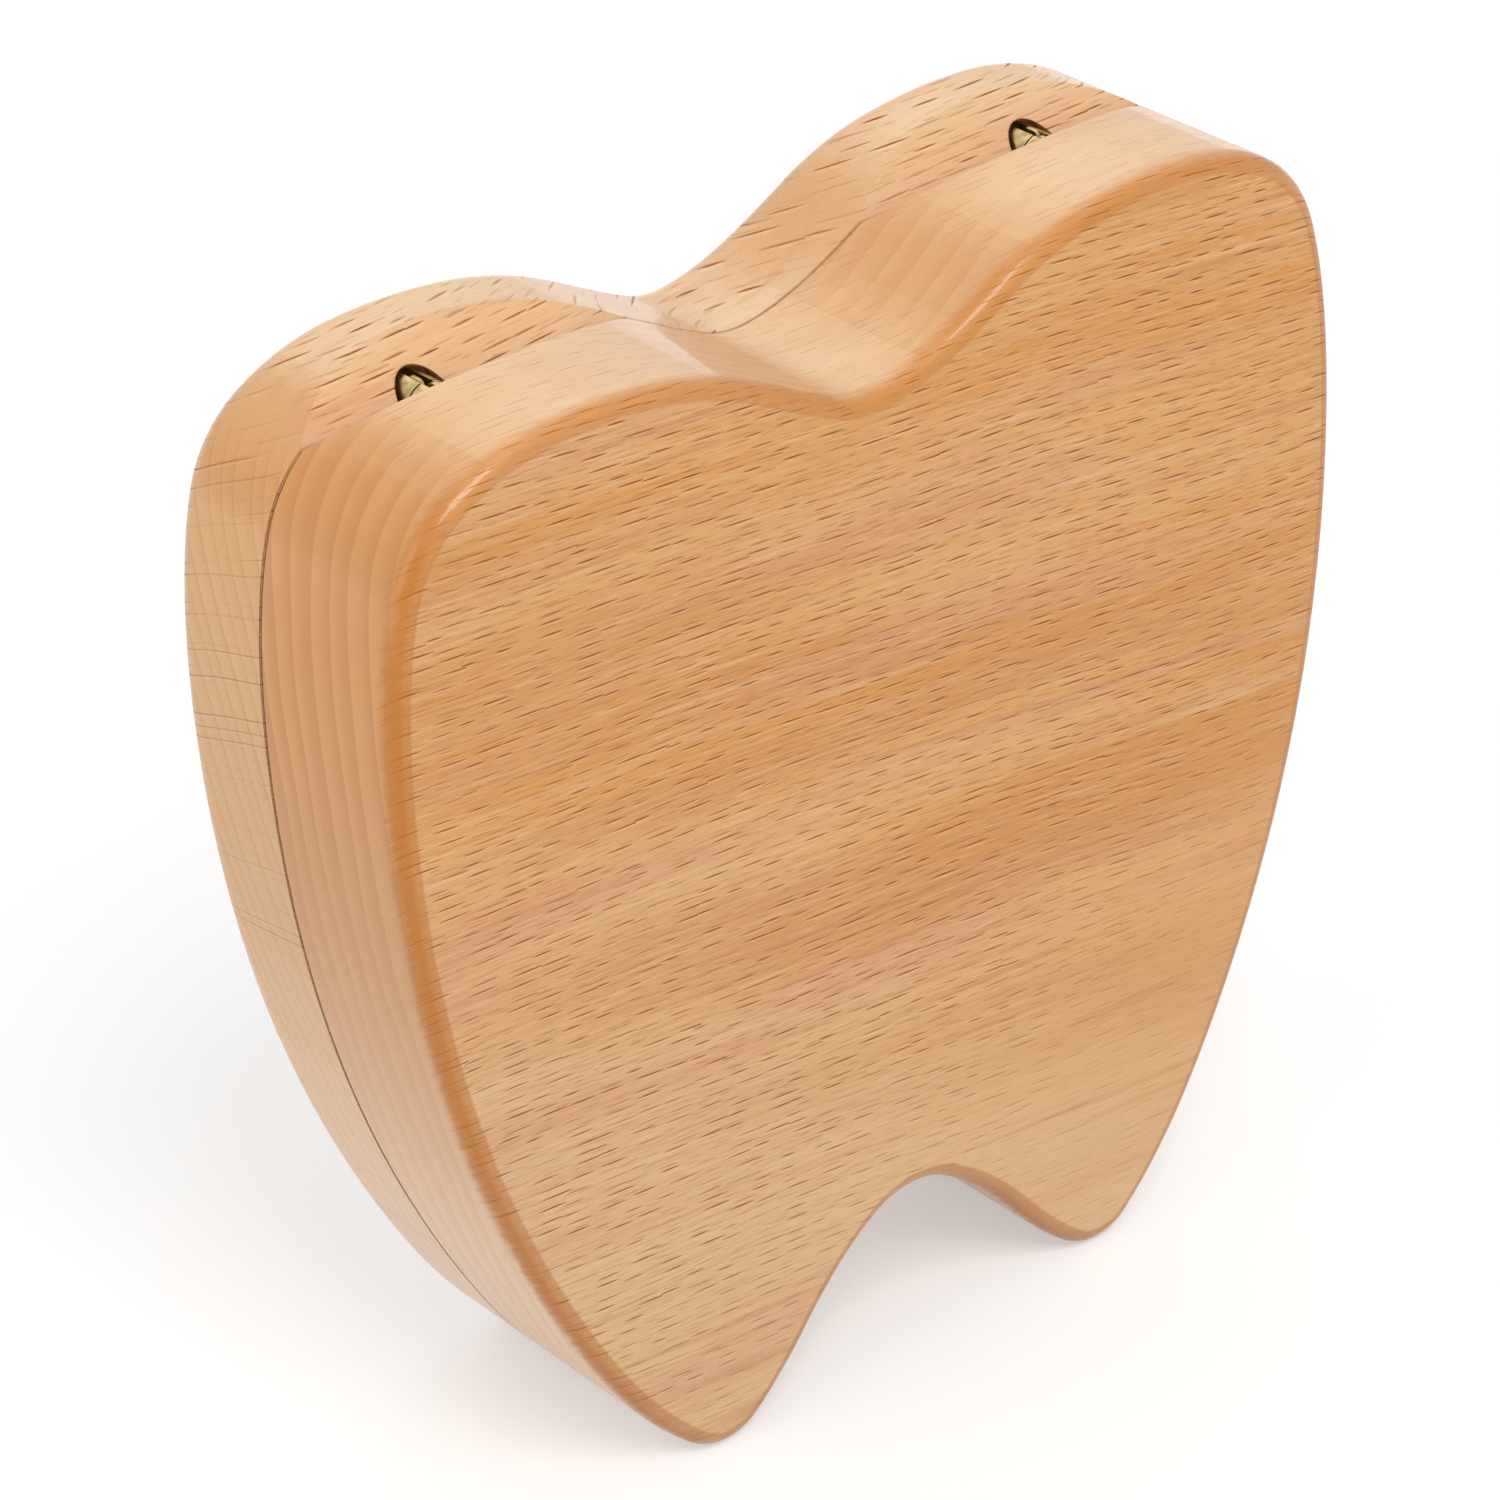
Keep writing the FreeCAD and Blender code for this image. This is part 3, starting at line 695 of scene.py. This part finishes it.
def dress_box():
    hinge_parts = [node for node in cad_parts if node.startswith(("barrel", "leaf", "pivot", "centre"))]
    magnets = [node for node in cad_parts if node.startswith("magnet")]
    dress(["front_half"], Beech("beech_front", FRONT_WOOD).owner)
    dress(["back_half"], Beech("beech_back", BACK_WOOD).owner)
    dress(hinge_parts, brass("hinge_brass"))
    dress(magnets, nickel("nickel_plate"))


def add_object(name, data):
    holder = bpy.data.objects.new(name, data)
    bpy.context.scene.collection.objects.link(holder)
    return holder


def finished(name, mesh, material):
    """Object of a mesh with smooth shading and one material."""
    mesh.shade_smooth()
    mesh.materials.append(material)
    return add_object(name, mesh)


def rounded(corners):
    """Points of a plane path whose corners, given as along, across and radius, are rounded."""
    points = []
    for index, (along, across, radius) in enumerate(corners):
        here = Vector((along, across))
        if radius == 0:
            points.append(here)
            continue
        before = (Vector(corners[index - 1][:2]) - here).normalized()
        after = (Vector(corners[index + 1][:2]) - here).normalized()
        half_turn = before.angle(after) / 2
        start = here + before * radius / math.tan(half_turn)
        end = here + after * radius / math.tan(half_turn)
        middle = here + (before + after).normalized() * radius / math.sin(half_turn)
        for step in range(ROUNDING_STEPS + 1):
            # slerp gives unit vectors
            spoke = (start - middle).slerp(end - middle, step / ROUNDING_STEPS) * radius
            points.append(middle + spoke)
    return points


def lathe(name, profile, start, material, sides):
    """Smooth solid turned about a line along X; the profile starts and ends on the line."""
    mesh = bpy.data.meshes.new(name)
    turned = bmesh.new()
    angles = [2 * math.pi * side / sides for side in range(sides)]
    rings = []
    for along, radius in profile:
        # On the line a ring is one point
        turns = angles if radius > 0 else angles[:1]
        spots = [(along, radius * math.cos(turn), radius * math.sin(turn)) for turn in turns]
        rings.append([turned.verts.new(start + Vector(spot) * MM) for spot in spots])
    for first, second in zip(rings, rings[1:]):
        for side in range(sides):
            corners = [first[side % len(first)], first[(side + 1) % len(first)],
                       second[(side + 1) % len(second)], second[side % len(second)]]
            turned.faces.new(list(dict.fromkeys(corners)))
    bmesh.ops.recalc_face_normals(turned, faces=turned.faces)
    turned.to_mesh(mesh)
    turned.free()
    return finished(name, mesh, material)


def stand_for(piece, node):
    """The piece takes the place of a CAD node and moves with that node's body of the same name."""
    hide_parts(node)
    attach(piece, node)


def base_of(node):
    """Middle of the left end of a node that lies along X, and its length and radius in millimetres."""
    low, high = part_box(node)
    start = Vector((low[0], (low[1] + high[1]) / 2, (low[2] + high[2]) / 2))
    return start, (high[0] - low[0]) / MM, (high[2] - low[2]) / 2 / MM


def make_vial():
    """Vial turned from the hollow in its base over the outside to the mouth and back inside."""
    start, length, radius = base_of("vial")
    inside = radius - VIAL_WALL
    profile = rounded([
        (VIAL_HOLLOW_DEPTH, 0.0, 0),
        (VIAL_HOLLOW_DEPTH, VIAL_HOLLOW_RADIUS, 0.3),
        (0.0, VIAL_FOOT_RADIUS, 0.5),
        (0.0, radius, 0.8),
        (VIAL_SHOULDER_START, radius, 0.8),
        (VIAL_NECK_START, VIAL_NECK_RADIUS, 0.5),
        (VIAL_LIP_START, VIAL_NECK_RADIUS, 0.25),
        (VIAL_LIP_START, VIAL_LIP_RADIUS, 0.5),
        (length, VIAL_LIP_RADIUS, 0.6),
        (length, VIAL_MOUTH_RADIUS, 0.25),
        (VIAL_NECK_START, VIAL_MOUTH_RADIUS, 0.5),
        (VIAL_SHOULDER_START, inside, 0.7),
        (VIAL_BASE, inside, 0.8),
        (VIAL_BASE, 0.0, 0),
    ])
    stand_for(lathe("glass_vial", profile, start, glass("vial_glass"), VIAL_SIDES), "vial")


def make_cork():
    """Stopper with small pits in its side and its outer end."""
    start, length, radius = base_of("cork")
    path = rounded([(0.0, 0.0, 0), (0.0, CORK_INNER_RADIUS, 0.2), (length, radius, 0.35), (length, 0.0, 0)])
    profile = []
    for first, last in zip(path, path[1:]):
        steps = max(1, round((last - first).length / CORK_STEP))
        profile += [first.lerp(last, step / steps) for step in range(steps)]
    piece = lathe("cork_stopper", profile + [path[-1]], start, ground_cork("ground_cork"), CORK_SIDES)
    middle = start + Vector((length / 2, 0, 0)) * MM
    for vertex in piece.data.vertices:
        place = vertex.co / MM
        pit = sum(strength * noise.noise(place * grains) for grains, strength in CORK_PIT_NOISES)
        depth = CORK_PIT_DEPTH * min(1.0, max(0.0, pit - CORK_PIT_START) * CORK_PIT_STEEPNESS)
        vertex.co += (middle - vertex.co).normalized() * depth * MM
    stand_for(piece, "cork")


def tweezers_outline(length, half_width):
    """Half of the outline from the joined end to the tip and back, with gripping ridges on the arm."""
    outer = [(along * length, across * half_width) for along, across in TWEEZERS_OUTER_SHARES]
    ridge_start = outer[-1]
    ridge_end = (TWEEZERS_TIP_SHARES[0][0] * length, TWEEZERS_TIP_SHARES[0][1] * half_width)
    for ridge in range(TWEEZERS_RIDGES):
        for place, depth in ((0.5, TWEEZERS_RIDGE_DEPTH), (1.0, 0.0)):
            share = (ridge + place) / TWEEZERS_RIDGES
            along = ridge_start[0] + (ridge_end[0] - ridge_start[0]) * share
            across = ridge_start[1] + (ridge_end[1] - ridge_start[1]) * share
            outer.append((along, across - depth))
    rest = TWEEZERS_TIP_SHARES[1:] + TWEEZERS_INNER_SHARES
    return outer + [(along * length, across * half_width) for along, across in rest]


def make_tweezers():
    """Flat tweezers with eased rims, drawn as an outline and raised."""
    low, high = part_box("tweezers")
    length = (high[0] - low[0]) / MM
    half_width = (high[2] - low[2]) / 2 / MM
    middle = (low[2] + high[2]) / 2
    upper = tweezers_outline(length, half_width)
    outline = upper + [(along, -across) for along, across in reversed(upper[:-1])]
    mesh = bpy.data.meshes.new("plastic_tweezers")
    shape = bmesh.new()
    corners = [(high[0] - along * MM, high[1], middle + across * MM) for along, across in outline]
    face = shape.faces.new([shape.verts.new(corner) for corner in corners])
    raised = bmesh.ops.extrude_face_region(shape, geom=[face])
    moved = [item for item in raised["geom"] if isinstance(item, bmesh.types.BMVert)]
    bmesh.ops.translate(shape, verts=moved, vec=(0, low[1] - high[1], 0))
    bmesh.ops.recalc_face_normals(shape, faces=shape.faces)
    # The rims lie in the flat faces; the other edges join the two faces
    rims = [edge for edge in shape.edges if abs(edge.verts[0].co.y - edge.verts[1].co.y) < MM / 100]
    bmesh.ops.bevel(shape, geom=rims, offset=TWEEZERS_EDGE * MM, segments=TWEEZERS_EDGE_STEPS,
                    affect="EDGES", clamp_overlap=True)
    shape.to_mesh(mesh)
    shape.free()
    piece = finished("plastic_tweezers", mesh, plastic("milky_plastic"))
    mesh.set_sharp_from_angle(angle=math.radians(TWEEZERS_SHARP_ANGLE))
    stand_for(piece, "tweezers")


def floor_material():
    """Pale floor that keeps the shadow round the box and is plain white further out."""
    graph = Graph(bpy.data.materials.new("studio_floor"))
    far = graph.smooth(graph.measure("LENGTH", graph.metres()), FLOOR_FADE)
    strength = graph.times(graph.background_rays(), graph.between(far, FLOOR_GLOW, 1.0))
    diffuse = graph.node("ShaderNodeBsdfDiffuse", {"Color": (FLOOR_GREY, FLOOR_GREY, FLOOR_GREY, 1.0)})
    glow = graph.node("ShaderNodeEmission", {"Color": WHITE, "Strength": strength})
    return graph.surface(graph.node("ShaderNodeAddShader", {0: diffuse.outputs[0], 1: glow.outputs[0]}))


def make_floor():
    mesh = bpy.data.meshes.new("floor")
    half = FLOOR_SIZE / 2
    corners = [(-half, -half, 0), (half, -half, 0), (half, half, 0), (-half, half, 0)]
    mesh.from_pydata(corners, [], [(0, 1, 2, 3)])
    mesh.materials.append(floor_material())
    floor = add_object("floor", mesh)


def make_world():
    """Even white surroundings that light the box softly."""
    graph = Graph(bpy.data.worlds.new("studio"), "ShaderNodeOutputWorld")
    strength = graph.between(graph.background_rays(), WORLD_STRENGTH, 1.0)
    background = graph.node("ShaderNodeBackground", {"Color": WHITE, "Strength": strength})
    bpy.context.scene.world = graph.surface(background)


def aim(holder, azimuth, elevation, distance, roll=0.0):
    """Puts a lamp or the camera round the middle of the box, looking at it; azimuth 0 is in front."""
    turn = math.radians(azimuth)
    rise = math.radians(elevation)
    back = Vector((math.sin(turn) * math.cos(rise), -math.cos(turn) * math.cos(rise), math.sin(rise)))
    holder.location = TARGET + back * distance
    holder.rotation_mode = "QUATERNION"
    holder.rotation_quaternion = (-back).to_track_quat("-Z", "Y") @ Quaternion((0, 0, 1), math.radians(-roll))


def make_lamp(name, azimuth, elevation, distance, size, power):
    """Square softbox."""
    lamp = bpy.data.lights.new(name, "AREA")
    lamp.shape = "SQUARE"
    lamp.size = size
    lamp.energy = power
    aim(add_object(name, lamp), azimuth, elevation, distance)


def make_camera():
    camera = bpy.data.cameras.new("camera")
    camera.lens = CAMERA_LENS
    camera.sensor_width = CAMERA_SENSOR
    camera.clip_start = CAMERA_CLIP_START
    camera.clip_end = CAMERA_CLIP_END
    holder = add_object("camera", camera)
    aim(holder, CAMERA_AZIMUTH, CAMERA_ELEVATION, CAMERA_DISTANCE, CAMERA_ROLL)
    bpy.context.scene.camera = holder


make_camera()
make_floor()
make_world()
for lamp_name, lamp_settings in LAMPS.items():
    make_lamp(lamp_name, *lamp_settings)
dress_box()
make_vial()
make_cork()
make_tweezers()
bpy.context.scene.view_settings.view_transform = "Standard"
